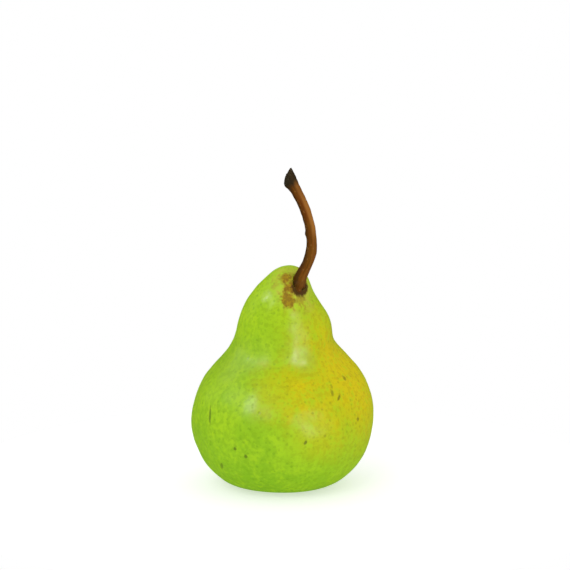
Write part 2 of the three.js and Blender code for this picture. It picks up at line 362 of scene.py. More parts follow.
class Axis:
    """A curve that a turned form is bent along, read by the distance along it."""

    def __init__(self, points, ease):
        self.points = eased(spline(points, AXIS_POINTS, run_on=True), ease)
        steps = np.linalg.norm(np.diff(self.points, axis=0), axis=1)
        self.distances = np.concatenate([[0], np.cumsum(steps)])
        self.length = self.distances[-1]
        self.slopes = unit(np.gradient(self.points, self.distances, axis=0))

    def read(self, table, distance):
        """Points or slopes of the curve at distances along it."""
        return np.stack([np.interp(distance, self.distances, row) for row in table.T], axis=-1)

    def bend(self, straight):
        """Moves points (..., 3) of a form that stands along Z onto the curve, each level square to it."""
        height = straight[..., 2]
        on = np.clip(height, 0, self.length)
        tangent = unit(self.read(self.slopes, on))
        level = straight.copy()
        level[..., 2] = 0
        along = (level * tangent).sum(-1)
        tipped = level - (along / (1 + tangent[..., 2]))[..., None] * (tangent + UP)
        return tipped + self.read(self.points, on) + tangent * (height - on)[..., None]


def ring(columns):
    """Level unit vectors all round."""
    azimuth = np.linspace(0, math.tau, columns, endpoint=False)
    return np.stack([np.cos(azimuth), np.sin(azimuth), np.zeros(columns)], axis=-1)


def azimuth_of(points):
    return np.arctan2(points[..., 1], points[..., 0])


def radius_of(points):
    return np.hypot(points[..., 0], points[..., 1])


def turned(outline, columns):
    """Points (rows, columns, 3) of a form turned from an outline of (radius, height), with its normals."""
    around = ring(columns)
    radius, height = outline.T[..., None, None]
    run, rise = unit(np.gradient(outline, axis=0)).T[..., None, None]
    return radius * around + height * UP, rise * around - run * UP


def relief(swellings, points):
    """How far a form stands out at turned points."""
    azimuth = azimuth_of(points)
    radius = radius_of(points)
    total = np.zeros(radius.shape)
    for at, height, round_width, along_width, rise in swellings:
        turn = np.angle(np.exp(1j * (azimuth - math.radians(at))))
        across = turn * radius / round_width
        along = (points[..., 2] - height) / along_width
        total += rise * np.exp(-(across**2) - along**2)
    return total


def ripples(points, seed, longest, shortest, count):
    """Smooth seeded unevenness between about -1 and 1, as a sum of waves in all directions."""
    draw = np.random.default_rng(seed)
    total = np.zeros(points.shape[:-1])
    for _ in range(count):
        way = draw.normal(size=3)
        way *= math.tau / (np.linalg.norm(way) * draw.uniform(shortest, longest))
        total += np.sin(points @ way + draw.uniform(0, math.tau))
    return total / math.sqrt(count / 2) / 1.6


def grid_faces(rows, columns, start):
    """Faces of a closed form of rows x columns points with two pole points after them, one for each end."""
    here = start + np.arange(rows * columns).reshape(rows, columns)
    after = np.roll(here, -1, axis=1)
    pole = np.full(columns, start + rows * columns)
    sides = np.stack([here[:-1], after[:-1], after[1:], here[1:]], axis=-1)
    bottom = np.stack([pole, after[0], here[0]], axis=-1)
    top = np.stack([pole + 1, here[-1], after[-1]], axis=-1)
    return sides.reshape(-1, 4).tolist() + np.stack([bottom, top], axis=1).reshape(-1, 3).tolist()


def with_poles(grid):
    """The entries of a grid row by row, then the means of its first and last rows."""
    return np.vstack([grid.reshape(-1, grid.shape[2]), grid[0].mean(0), grid[-1].mean(0)])


def add_object(name, data):
    made = bpy.data.objects.new(name, data)
    bpy.context.scene.collection.objects.link(made)
    return made


class Form:
    """Closed forms gathered into one mesh, with values that materials read at each point."""

    def __init__(self):
        self.points = []
        self.faces = []
        self.values = {}
        self.count = 0

    def add(self, grid, **values):
        """Adds a closed form from a grid of points (rows, columns, 3). Each value is a grid of numbers or
        vectors, of one kind for each point."""
        self.points.append(with_poles(grid))
        self.faces += grid_faces(*grid.shape[:2], self.count)
        for name, value in values.items():
            self.values.setdefault(name, []).append(with_poles(value))
        self.count += len(self.points[-1])

    def to_object(self, name, offset):
        points = (np.vstack(self.points) + offset) * MM
        mesh = bpy.data.meshes.new(name)
        mesh.from_pydata(points.tolist(), [], self.faces)
        for title, stack in self.values.items():
            value = np.vstack(stack)
            kind, field = ("FLOAT_VECTOR", "vector") if value.shape[1] == 3 else ("FLOAT", "value")
            layer = mesh.attributes.new(title, kind, "POINT")
            layer.data.foreach_set(field, value.astype(np.float32).ravel())
        mesh.polygons.foreach_set("use_smooth", [True] * len(mesh.polygons))
        mesh.update()
        return add_object(name, mesh)


def fruit_outline(fruit, steps):
    """The fruit's outline as in its solid: up the basin's wall, over the rest ring, round the belly, up the
    neck and over the crown into the stem pit."""
    crown = millimetres(fruit.crown_height)
    depth = millimetres(fruit.basin_depth)
    basin = bezier([
        (0, depth),
        (0.55 * REST_INNER_RADIUS, depth),
        (0.7 * REST_INNER_RADIUS, 0),
        (REST_INNER_RADIUS, 0),
    ], 28)
    rest = np.linspace((REST_INNER_RADIUS, 0), (REST_OUTER_RADIUS, 0), 8)
    side = spline([
        (REST_OUTER_RADIUS, 0),
        (19.5, 1.2),
        (24.2, 4.2),
        (28.4, 9.2),
        (31.4, 15.8),
        (millimetres(fruit.belly_radius), millimetres(fruit.belly_height)),
        (31.5, 33.5),
        (27.6, 41.4),
        (22.4, 47.4),
        (millimetres(fruit.waist_radius), millimetres(fruit.waist_height)),
        (16.8, 57.5),
        (millimetres(fruit.neck_radius), millimetres(fruit.neck_height)),
        (13.2, 67.5),
        (10.8, 72.5),
        (7.4, 77),
        (CROWN_RADIUS, crown),
    ], steps)
    side = eased(side, OUTLINE_EASE)
    pit = bezier([
        (CROWN_RADIUS, crown),
        (CROWN_RADIUS / 2, crown - 0.2),
        (0, crown - millimetres(fruit.pit_depth)),
    ], 12)
    return np.vstack([basin[1:], rest[1:], side[1:], pit[1:-1]])


def fruit_axis():
    """The axis that the fruit leans along."""
    return Axis(FRUIT_AXIS, FRUIT_EASE)


def shape_fruit(points, normals):
    """The swellings and lobes of the fruit's solid, and the bend of its axis."""
    fade = smoothstep(radius_of(points), 0, 4) * smoothstep(points[..., 2], 0, 12)
    shaped = points + normals * (fade * relief(FRUIT_RELIEF + SKIN_RELIEF, points))[..., None]
    azimuth = azimuth_of(shaped)
    lobes = sum(size * np.cos(count * (azimuth - math.radians(at))) for count, size, at in FRUIT_LOBES)
    shaped[..., :2] *= (1 + lobes)[..., None]
    return fruit_axis().bend(shaped)


def surface_normals(grid):
    """Outward normals of a bent grid of points (rows, columns, 3)."""
    up_slope = np.gradient(grid, axis=0)
    round_slope = np.roll(grid, -1, axis=1) - np.roll(grid, 1, axis=1)
    return unit(np.cross(round_slope, up_slope))


def fruit_grid(fruit, columns, steps):
    """The fruit's points (rows, columns, 3), with the unevenness of its skin."""
    straight, normals = turned(fruit_outline(fruit, steps), columns)
    grid = shape_fruit(straight, normals)
    out = surface_normals(grid)
    height = straight[..., 2]
    radius = radius_of(straight)
    azimuth = azimuth_of(straight)
    broad = ripples(grid, seed=11, longest=24, shortest=10, count=22)
    fine = ripples(grid, seed=12, longest=7, shortest=3.5, count=22)
    swells = broad * millimetres(fruit.unevenness) + fine * 0.03
    swells *= smoothstep(height, 0.5, 8)
    # Shallow pleats run out of the calyx basin, over its mouth.
    mouth = smoothstep(radius, REST_INNER_RADIUS - 0.4, REST_INNER_RADIUS + 0.4)
    wall = smoothstep(radius, 1.8, 3.4) * (1 - mouth) * (height < 7)
    pleats = -0.22 * wall * (1 + np.cos(10 * azimuth + 1.5 * np.sin(2 * azimuth)))
    # The flesh rises a little round the stem's foot and dips where the two meet.
    away = np.linalg.norm(grid - stem_foot(), axis=-1)
    collar = 0.22 * np.exp(-(((away - 4.2) / 1.3) ** 2)) - 0.7 * np.exp(-((away / 2.9) ** 4))
    collar *= (height > 60) * (1 + 0.35 * np.sin(3 * azimuth + 0.7))
    return grid + out * (swells + pleats + collar)[..., None]


def stem_axis(stem):
    """The stem's axis: its root square to the crown, then its course."""
    body = fruit_axis()
    crown = body.points[-1]
    inward = -body.slopes[-1]
    root = crown + (-0.6, 0, 0) + inward * millimetres(stem.root_depth)
    return Axis([root, *(crown + step for step in np.array(STEM_COURSE, float))], STEM_EASE)


def stem_foot():
    """Where the stem's axis leaves the flesh."""
    return fruit_axis().points[-1] + STEM_COURSE[0]


def stem_outline(stem, length):
    """The stem's outline as in its solid: its radius at places along it."""
    shaft, foot, end = (millimetres(r) for r in (stem.radius, stem.foot_radius, stem.end_radius))
    root = millimetres(stem.root_depth)
    return spline([
        (0.75 * shaft, 0),
        (0.95 * shaft, 0.6 * root),
        (foot, root),
        (0.9 * foot, root + 2.4),
        (1.12 * shaft, root + 6),
        (1.02 * shaft, root + 11),
        (0.97 * shaft, 0.6 * length),
        (1.02 * shaft, length - 8),
        (end, length - 3),
        (end, length),
    ], 400)


def bark_relief(stem, around, height, length):
    """How far the bark stands out: furrows, gnarled rings at the foot and a rough knob at the end."""
    root = millimetres(stem.root_depth)
    azimuth = azimuth_of(around)
    twist = azimuth + 0.02 * height
    at = around * millimetres(stem.radius)
    at[..., 2] = height
    rise = 0.05 * np.sin(5 * twist) + 0.035 * np.sin(9 * twist + 1.3) + 0.02 * np.sin(17 * twist + 0.4)
    near_foot = np.exp(-(((height - root - 1.0) / 2.0) ** 2))
    rings = np.sin(3.1 * height + 1.5 * np.sin(azimuth))
    rise += near_foot * (0.16 * np.sin(7 * azimuth + 2.1) + 0.12 * rings)
    rise += 0.05 * ripples(at * (1, 1, 0.5), seed=21, longest=2.6, shortest=1.0, count=20)
    near_end = smoothstep(height, length - 8, length - 4)
    return rise + near_end * 0.14 * ripples(at, seed=22, longest=3.0, shortest=1.1, count=18)


def stem_grid(stem, columns, steps):
    """The stem's points, its turned points before they were bent, and how raw the wood is at each."""
    axis = stem_axis(stem)
    outline = stem_outline(stem, axis.length)
    around = ring(columns)
    # The end breaks off on a slanting plane: each line of the shaft stops where it meets it.
    tangent = axis.slopes[-1]
    across = np.eye(3)[:2] - np.outer(tangent[:2], tangent + UP) / (1 + tangent[2])
    slant = across @ STEM_BREAK_FACING
    lean = tangent @ STEM_BREAK_FACING

    def break_height(points):
        return axis.length + (STEM_BREAK_INSET - points[..., :2] @ slant) / lean

    stop = break_height(around * millimetres(stem.end_radius))
    # The bark moves the stops a little, so they are worked out again from where it ends.
    for _ in range(3):
        height = np.linspace(0, 1, steps)[:, None] * stop
        radius = np.interp(height, outline[:, 1], outline[:, 0])
        bare = around * radius[..., None] + height[..., None] * UP
        outward = np.broadcast_to(around, bare.shape)
        rise = relief(STEM_RELIEF, bare) + bark_relief(stem, outward, height, axis.length)
        side = bare + around * rise[..., None]
        stop = break_height(side[-1])
    # Torn fibres stand on the broken face.
    share = np.linspace(0.95, 0.04, 14)[:, None, None]
    cap = side[-1] * share * (1, 1, 0)
    fibres = 0.35 * ripples(cap, seed=23, longest=1.2, shortest=0.5, count=24)
    fibres *= np.minimum(1, 5 * (1 - share[..., 0]))
    cap[..., 2] = break_height(cap) + fibres
    straight = np.vstack([side, cap])
    raw = np.vstack([smoothstep(height, stop - 0.5, stop), np.ones((len(share), columns))])
    return axis.bend(straight), straight, raw


def tube(path, radius, columns):
    """Points (rows, columns, 3) of a round tube along a path of points, with a radius for each."""
    path = np.asarray(path, float)
    slope = unit(np.gradient(path, axis=0))
    side = unit(np.cross(slope, np.where(np.abs(slope[:, 2:3]) > 0.9, (1.0, 0, 0), (0, 0, 1.0))))
    third = np.cross(slope, side)
    turn = ring(columns)
    round_path = side[:, None] * turn[:, :1] + third[:, None] * turn[:, 1:2]
    return path[:, None] + round_path * np.array(radius)[:, None, None]


def calyx_cup(calyx, roof):
    """The cup's points: a hollow cup that faces down, with its root above it."""
    radius = millimetres(calyx.cup_radius)
    outline = spline([
        (0.05, roof + 0.3),
        (0.5 * radius, roof + 0.1),
        (0.6 * radius, roof - 1.0),
        (0.74 * radius, roof - 1.45),
        (0.94 * radius, roof - 1.2),
        (radius, roof - 0.4),
        (0.98 * radius, roof + 1.2),
        (0.7 * radius, roof + 2.9),
        (0.05, roof + 3.0),
    ], 64)
    points, normals = turned(outline, 60)
    crumple = 0.07 * np.cos(15 * azimuth_of(points))
    crumple += 0.06 * ripples(points, seed=31, longest=1.8, shortest=0.7, count=16)
    return points + normals * crumple[..., None]


def sepal(calyx, roof, azimuth, draw):
    """One sepal's points: a thin leaf that hangs outward from the cup, ridged, wavy and curled at the tip."""
    length = millimetres(calyx.sepal_length) * draw.uniform(0.94, 1.04)
    half = millimetres(calyx.sepal_width) / 2
    droop = math.radians(62)
    share = np.linspace(0, 1, 40)[:, None]
    width = spline([(0.6,), (1.0,), (0.9,), (0.55,), (0.06,)], len(share)) * half
    turn = np.linspace(0, math.tau, 28, endpoint=False)
    across = np.cos(turn) * width
    thickness = 0.24 * (1 - 0.5 * share) * (width / half) ** 0.3
    lift = np.sin(turn) * np.abs(np.sin(turn)) * thickness
    along = length * share
    # The blade cups along its middle, waves at its edges and curls out at the tip.
    cup = -0.16 * (across / half) ** 2 + 0.1 * np.exp(-((across / 0.16) ** 2)) * (1 - share)
    wave = 0.07 * np.sin(9 * share + draw.uniform(0, 6)) * (across / half)
    curl = (0.35 + draw.uniform(-0.1, 0.1)) * share**2.4
    height = lift + cup + wave + curl + 0.35
    outward = 0.58 * millimetres(calyx.cup_radius) + along * math.cos(droop) + height * math.sin(droop)
    down = roof - 0.9 - along * math.sin(droop) + height * math.cos(droop)
    skew = across + 0.25 * draw.uniform(-1, 1) * share**2
    facing = np.array([-math.sin(azimuth), math.cos(azimuth), 0])
    side = np.array([math.cos(azimuth), math.sin(azimuth), 0])
    return outward[..., None] * facing - skew[..., None] * side + down[..., None] * UP


def stamens(calyx, roof):
    """The dried stamens and styles inside the cup, as tubes."""
    draw = np.random.default_rng(STAMEN_SEED)
    radius = millimetres(calyx.cup_radius)
    for index in range(calyx.stamen_count):
        turn = math.tau * (index + draw.uniform(-0.3, 0.3)) / calyx.stamen_count
        foot = np.array([0.5 * radius * math.cos(turn), 0.5 * radius * math.sin(turn), roof - 0.5])
        lean = draw.uniform(-0.5, 0.2)
        sway = turn + draw.uniform(-1, 1)
        tip = foot + (lean * math.cos(sway), lean * math.sin(turn), -draw.uniform(1.0, 1.7))
        middle = (foot + tip) / 2 + draw.uniform(-0.2, 0.2, 3)
        path = spline([foot, middle, tip], 12)
        yield tube(path, np.linspace(0.1, 0.06, 12), 8)
        yield tube([tip + (0, 0, 0.12), tip, tip - (0, 0, 0.1)], [0.08, 0.15, 0.05], 8)
    for index in range(5):
        turn = math.tau * index / 5
        foot = np.array([0.22 * math.cos(turn), 0.22 * math.sin(turn), roof + 0.2])
        tip = foot + (0.25 * math.cos(turn), 0.25 * math.sin(turn), -2.0)
        path = spline([foot, (foot + tip) / 2, tip], 10)
        yield tube(path, np.linspace(0.14, 0.1, 10), 8)


def place_on_fruit(fruit, azimuth, height):
    """A point on the skin, and the ways that lead from it along the fruit and round it."""
    outline = fruit_outline(fruit, 400)
    side = outline[np.argmax(outline[:, 0] > REST_OUTER_RADIUS):]
    row = np.argmin(np.abs(side[:, 1] - height))
    # One column for each degree.
    straight, normals = turned(side, 360)
    bent = shape_fruit(straight, normals)
    column = int(round(azimuth)) % 360
    along = unit(bent[row + 1, column] - bent[row - 1, column])
    across = bent[row, (column + 1) % 360] - bent[row, column - 1]
    return bent[row, column], along, unit(across - along * (across @ along))


def offset_of(node, points):
    """What moves a form worked out here onto its solid, which was centred on the part's origin."""
    low, high = (np.array(corner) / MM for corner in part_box(node))
    mine_low = points.min((0, 1))
    mine_high = points.max((0, 1))
    shift = ((low + high) - (mine_low + mine_high)) / 2
    shift[2] = 0
    if np.abs((high - low) - (mine_high - mine_low)).max() > FIT_TOLERANCE:
        raise RuntimeError(f"the form of {node} no longer matches its solid")
    return shift


# ---------------- shader maths


class Channel:
    """A socket that Python's operators work on. Each expression adds the Math nodes that it needs."""

    def __init__(self, graph, socket):
        self.graph = graph
        self.socket = socket

    def maths(self, operation, first, second):
        return self.graph.node("ShaderNodeMath", {"operation": operation}, {0: first, 1: second})

    def __add__(self, other):
        return self.maths("ADD", self, other)

    def __sub__(self, other):
        return self.maths("SUBTRACT", self, other)

    def __mul__(self, other):
        return self.maths("MULTIPLY", self, other)

    def __pow__(self, other):
        return self.maths("POWER", self, other)

    def __rsub__(self, other):
        return self.maths("SUBTRACT", other, self)

    __radd__ = __add__
    __rmul__ = __mul__

    def least(self, other):
        return self.maths("MINIMUM", self, other)

    def most(self, other):
        return self.maths("MAXIMUM", self, other)


class Graph:
    """The node graph of a new material or world."""

    def __init__(self, owner):
        owner.use_nodes = True
        self.owner = owner
        self.nodes = owner.node_tree.nodes
        self.links = owner.node_tree.links
        self.nodes.clear()

    def node(self, kind, settings=None, inputs=None, output=0):
        """Adds a node: its type, its settings, then the values or links of its sockets. Returns one output,
        or nothing where output is None."""
        made = self.nodes.new(kind)
        for name, value in (settings or {}).items():
            setattr(made, name, value)
        for name, value in (inputs or {}).items():
            if isinstance(value, Channel):
                self.links.new(value.socket, made.inputs[name])
            else:
                made.inputs[name].default_value = value
        return None if output is None else Channel(self, made.outputs[output])

    def place(self):
        """Where a point is, in millimetres in the part's frame."""
        metres = self.node("ShaderNodeTexCoord", output="Object")
        return self.scaled(metres, (1 / MM,) * 3)

    def value(self, name, output="Vector"):
        """What a form's mesh holds for each point."""
        return self.node("ShaderNodeAttribute", {"attribute_name": name}, output=output)

    def vector(self, operation, first, second, output="Vector"):
        return self.node("ShaderNodeVectorMath", {"operation": operation}, {0: first, 1: second}, output)

    def scaled(self, vector, factors):
        return self.vector("MULTIPLY", vector, factors)

    def measure(self, operation, first, second=(0, 0, 0)):
        """A number worked out from one or two vectors."""
        return self.vector(operation, first, tuple(second), "Value")

    def part(self, vector, axis):
        return self.node("ShaderNodeSeparateXYZ", inputs={0: vector}, output=axis)

    def noise(self, at, size, detail=3.0):
        """Noise from 0 to 1 whose features are about size across."""
        return self.node("ShaderNodeTexNoise", inputs={
            "Vector": at, "Scale": 1 / size, "Detail": detail, "Roughness": 0.55,
        })

    def cells(self, at, size, output="Distance"):
        """Cells about size apart: the distance from their seeds, or their random colour."""
        return self.node("ShaderNodeTexVoronoi", inputs={"Vector": at, "Scale": 1 / size}, output=output)

    def step(self, value, low, high):
        """0 to 1 as value goes smoothly from low to high, or 1 to 0 where low is the larger."""
        return self.node("ShaderNodeMapRange", {"interpolation_type": "SMOOTHSTEP"}, {
            "Value": value, "From Min": low, "From Max": high,
        })

    def patches(self, at, table, wander=0):
        """The sum of soft round patches, whose edges wander. The table holds each one's middle, how far it
        reaches, how far it is full, and its strength."""
        total = 0
        for middle, reach, full, strength in table:
            away = self.measure("DISTANCE", at, middle) + wander
            total = self.step(away, reach, full) * strength + total
        return total

    def mix(self, factor, first, second):
        """A colour between two."""
        return self.node("ShaderNodeMix", {"data_type": "RGBA"}, {
            0: factor, 6: colour(first), 7: colour(second),
        }, output=2)

    def bump(self, height):
        """A normal from a height in millimetres."""
        return self.node("ShaderNodeBump", inputs={"Height": height, "Distance": MM})

    def finish(self, **inputs):
        """Closes the graph with the surface shader. Underscores stand for spaces in its socket names."""
        surface = self.node("ShaderNodeBsdfPrincipled", inputs={
            name.replace("_", " "): value for name, value in inputs.items()
        })
        self.node("ShaderNodeOutputMaterial", inputs={"Surface": surface}, output=None)
        return self.owner


def colour(value):
    """A colour property or link as a socket takes it."""
    return value if isinstance(value, Channel) else (*value, 1.0)


# ---------------- materials


def skin_material(fruit):
    """Waxy pear skin: mottled green with a yellow blush, pores, russet round the stem, small marks and
    painted highlights.
    """
    graph = Graph(bpy.data.materials.new("waxy_pear_skin"))
    at = graph.place()
    height = graph.part(at, "Z")

    broad = graph.noise(at, 14, detail=2)
    medium = graph.noise(graph.scaled(at, (1, 1, 0.7)), 4, detail=3)
    small = graph.noise(at, 1.5, detail=2)
    fine = graph.noise(at, 0.7, detail=2)
    tone = graph.mix(graph.step(medium + broad * 0.7, 0.65, 1.0) * 0.4 + 0.6, fruit.deep_green, fruit.green)
    low = graph.step(height + graph.part(at, "X") * 0.5 + broad * 10, 28, 4)
    tone = graph.mix(low * 0.6, tone, fruit.deep_green)

    # The sunny side thins out in a soft mottled edge.
    wander = (broad - 0.5) * 10 + (medium - 0.5) * 10 + (small - 0.5) * 7
    blush = graph.patches(at, BLUSH_PATCHES, wander).least(1)
    tone = graph.mix(blush, tone, fruit.blush)
    # The neck is paler.
    tone = graph.mix(graph.step(height, 50, 66) * 0.5, tone, fruit.pale_green)

    # Mottling, darker and lighter, and the pores: soft dots about 1.5 mm apart, and a few large ones.
    dark = graph.mix(blush * 0.9, fruit.dot, fruit.sunny_dot)
    tone = graph.mix(graph.step(small, 0.54, 0.36) * 0.26, tone, dark)
    tone = graph.mix(graph.step(small + medium * 0.6, 0.82, 1.0) * 0.38, tone, fruit.pale_green)
    seed = graph.part(graph.cells(at, 1.5, output="Color"), "X")
    dots = graph.step(graph.cells(at, 1.5) + seed * 0.4, 0.52, 0.12)
    large_seed = graph.part(graph.cells(at, 6, output="Color"), "Y")
    large = graph.step(graph.cells(at, 6) + large_seed * 0.12, 0.13, 0.04)
    scar = graph.mix(blush, fruit.green_scar, fruit.scar)
    tone = graph.mix(dots * 0.42, tone, dark)
    tone = graph.mix(large * 0.4, tone, scar)

    # Painted highlight: the skin's colour is paler where the coat is thick, at the places where highlights
    # fall.
    wax_and_painted_highlight = graph.patches(at, WAX_AND_PAINTED_HIGHLIGHT_PATCHES)
    tone = graph.mix(wax_and_painted_highlight * 0.3, tone, fruit.pale_green)

    # Russet in patches round the stem's foot, with an olive tint round them, made lighter than the skin's own
    # olive as a painted sheen on the crown.
    foot = stem_foot()
    from_foot = graph.measure("DISTANCE", at, foot)
    edge = (medium - 0.5) * 12 + (small - 0.5) * 9 + (fine - 0.5) * 5
    haze_and_painted_sheen = graph.step(from_foot + edge, 11, 3.5)
    tone = graph.mix(haze_and_painted_sheen * 0.7, tone, fruit.haze_and_painted_sheen)

    russet = graph.step(from_foot + edge * 0.3, 4.4, 3.0) * 0.6
    for step, radius, raggedness, strength in RUSSET_PATCHES:
        away = graph.measure("DISTANCE", at, foot + step) + edge * raggedness
        patch = graph.step(away, radius + 1.1, radius - 1.1)
        russet = russet.most(patch * strength)
    # It is darkest where it closes round the lower side of the foot.
    dark_russet = graph.step(from_foot + edge * 0.2, 4.9, 3.4)
    dark_russet = dark_russet * graph.step(height + edge * 0.2, 77.4, 74.6)
    # Russet lines the calyx basin too.
    from_axis = graph.measure("LENGTH", graph.scaled(at, (1, 1, 0)))
    basin = graph.step(from_axis + edge, 7, 3.2) * graph.step(height, 12, 7)
    russet = russet.most(basin * 0.85)
    corky = graph.mix(graph.step(small + fine, 0.85, 1.15), fruit.russet, fruit.pale_russet)
    tone = graph.mix(russet * 0.9, tone, corky)
    tone = graph.mix(dark_russet, tone, fruit.dark_russet)

    marks = None
    for azimuth, level, half_length, half_width, lean, strength in SKIN_MARKS:
        point, along, across = place_on_fruit(fruit, azimuth, level)
        turn = math.radians(lean)
        line = (along * math.cos(turn) + across * math.sin(turn)) / half_length
        side = (across * math.cos(turn) - along * math.sin(turn)) / half_width
        offset = graph.vector("SUBTRACT", at, tuple(point))
        reach = graph.measure("DOT_PRODUCT", offset, line) ** 2
        reach = reach + graph.measure("DOT_PRODUCT", offset, side) ** 2
        near = graph.step(graph.measure("LENGTH", offset), 8, 6)
        mark = graph.step(reach + (fine - 0.5) * 1.6, 1.6, 0.2) * near * strength
        marks = mark if marks is None else marks.most(mark)
    tone = graph.mix(marks, tone, scar)

    raised = fine * 0.02 + medium * 0.05 + russet * fine * 0.12
    pitted = dots * 0.02 + large * 0.03 + marks * 0.05
    rough = fruit.roughness + (medium - 0.5) * 0.08 + dots * 0.06 + russet * 0.3 + marks * 0.25
    rough = rough + graph.patches(at, DULL_PATCHES)
    return graph.finish(
        Base_Color=tone, Roughness=rough, Normal=graph.bump(raised - pitted), Subsurface_Weight=0.12,
        Subsurface_Radius=(1.0, 0.8, 0.25), Subsurface_Scale=0.0025, Specular_IOR_Level=0.2,
        Sheen_Weight=0.35, Sheen_Roughness=0.4, Sheen_Tint=(0.55, 1, 0, 1),
        Coat_Weight=wax_and_painted_highlight, Coat_Roughness=0.3,
    )


def bark_material(stem):
    """Smooth bark with lengthwise grain, red stretches, painted highlight and shade on its two sides, and a
    weathered end.
    """
    graph = Graph(bpy.data.materials.new("pear_stem_bark"))
    at = graph.value("straight")
    grain = graph.noise(graph.scaled(at, (1, 1, 0.1)), 0.55, detail=4)
    patchy = graph.noise(graph.scaled(at, (1, 1, 0.35)), 2.6, detail=3)
    fine = graph.noise(at, 0.35, detail=3)
    height = graph.part(at, "Z")
    to_right = graph.part(at, "X") + (patchy - 0.5) * 0.8
    tone = graph.mix(graph.step(patchy, 0.42, 0.62) * 0.7 + 0.3, stem.bark, stem.red_bark)
    tone = graph.mix(graph.step(grain, 0.4, 0.66) * 0.4, tone, stem.dark_bark_and_painted_shade)
    # Painted highlight: the bark is lighter down the stem's right side, most on its upper part.
    sunny = graph.step(height, 24, 31) * 0.55 - graph.step(height, 38, 44) * 0.35 + 0.2
    sunny = graph.step(to_right, 0, 0.9) * sunny
    tone = graph.mix(sunny, tone, stem.bark_painted_highlight)
    # Painted shade: the bark is darker down the stem's left side.
    tone = graph.mix(graph.step(to_right, -0.2, -1.5) * 0.7, tone, stem.dark_bark_and_painted_shade)
    foot = graph.step(height + (patchy - 0.5) * 4, 11.5, 7.5)
    tone = graph.mix(foot * 0.42, tone, stem.dark_bark_and_painted_shade)
    warts = graph.step(graph.cells(graph.scaled(at, (1, 1, 0.6)), 1.1), 0.24, 0.1)
    tone = graph.mix(warts * 0.35, tone, stem.warts)
    end = graph.step(height + (patchy - 0.5) * 4, 45.0, 48.0)
    raw = graph.value("raw", output="Fac")
    tone = graph.mix(end.most(raw) * 0.9, tone, stem.broken)
    tone = graph.mix(raw * graph.step(fine, 0.45, 0.7) * 0.5, tone, stem.raw_wood)
    rough = 0.42 + grain * 0.15 + foot * 0.2 + end * 0.25
    bumps = grain * 0.09 + fine * 0.03 + warts * 0.05 + raw * fine * 0.2
    return graph.finish(Base_Color=tone, Roughness=rough, Normal=graph.bump(bumps), Specular_IOR_Level=0.08)


def dry_material(name, calyx, dark_share):
    """Dry papery sepals or filaments. The larger the dark share, the nearer they are to the dark brown."""
    graph = Graph(bpy.data.materials.new(name))
    at = graph.place()
    patchy = graph.noise(at, 0.9, detail=3)
    fine = graph.noise(at, 0.2, detail=3)
    tone = graph.mix(graph.step(patchy + fine * 0.3, 0.5, 0.8), calyx.dark, calyx.dry)
    tone = graph.mix(dark_share, tone, calyx.dark)
    return graph.finish(
        Base_Color=tone, Roughness=0.8 + fine * 0.15, Normal=graph.bump(fine * 0.06 + patchy * 0.1),
        Specular_IOR_Level=0.25,
    )


def floor_material(stage):
    """Plain white paper."""
    graph = Graph(bpy.data.materials.new("white_paper"))
    fibres = graph.noise(graph.place(), 3, detail=2)
    return graph.finish(
        Base_Color=graph.mix(fibres * 0.1, stage.floor, (1, 1, 1)), Roughness=0.9, Specular_IOR_Level=0.1,
        Emission_Color=(1, 1, 1, 1), Emission_Strength=stage.floor_glow,
    )


# ---------------- operators


def pear_offset():
    """What moves the forms worked out here into the part's frame."""
    fruit = bpy.context.scene.pear_fruit
    return offset_of("fruit", fruit_grid(fruit, *FITTING_DETAIL))


def grow(name, form, material, node):
    """Makes a form into a piece with a finish, on the part's body and in place of a solid."""
    piece = form.to_object(name, pear_offset())
    piece.data.materials.append(material)
    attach(piece, "root")
    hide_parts(node)


class PEAR_OT_fruit(Operator):
    """Grow the fruit's skin over its solid"""

    bl_idname = "pear.fruit"
    bl_label = "Grow Fruit"

    def execute(self, context):
        fruit = context.scene.pear_fruit
        form = Form()
        form.add(fruit_grid(fruit, *FRUIT_DETAIL))
        grow("fruit_skin", form, skin_material(fruit), "fruit")
        return {"FINISHED"}


class PEAR_OT_stem(Operator):
    """Grow the stem with its foot in the flesh and its broken end"""

    bl_idname = "pear.stem"
    bl_label = "Grow Stem"

    def execute(self, context):
        stem = context.scene.pear_stem
        grid, straight, raw = stem_grid(stem, *STEM_DETAIL)
        form = Form()
        form.add(grid, straight=straight, raw=raw[..., None])
        grow("stem_bark", form, bark_material(stem), "stem")
        return {"FINISHED"}


class PEAR_OT_calyx(Operator):
    """Grow the dried calyx in its basin: the cup with its sepals, and the stamens"""

    bl_idname = "pear.calyx"
    bl_label = "Grow Calyx"

    def execute(self, context):
        calyx = context.scene.pear_calyx
        roof = millimetres(context.scene.pear_fruit.basin_depth)
        draw = np.random.default_rng(SEPAL_SEED)
        leaves = Form()
        leaves.add(calyx_cup(calyx, roof))
        for index in range(calyx.sepal_count):
            turn = math.tau * (index + 0.3) / calyx.sepal_count + draw.uniform(-0.08, 0.08)
            leaves.add(sepal(calyx, roof, turn, draw))
        grow("calyx_sepals", leaves, dry_material("dry_sepals", calyx, 0.0), "calyx")
        threads = Form()
        for grid in stamens(calyx, roof):
            threads.add(grid)
        grow("calyx_stamens", threads, dry_material("dry_stamens", calyx, 0.5), "calyx")
        return {"FINISHED"}


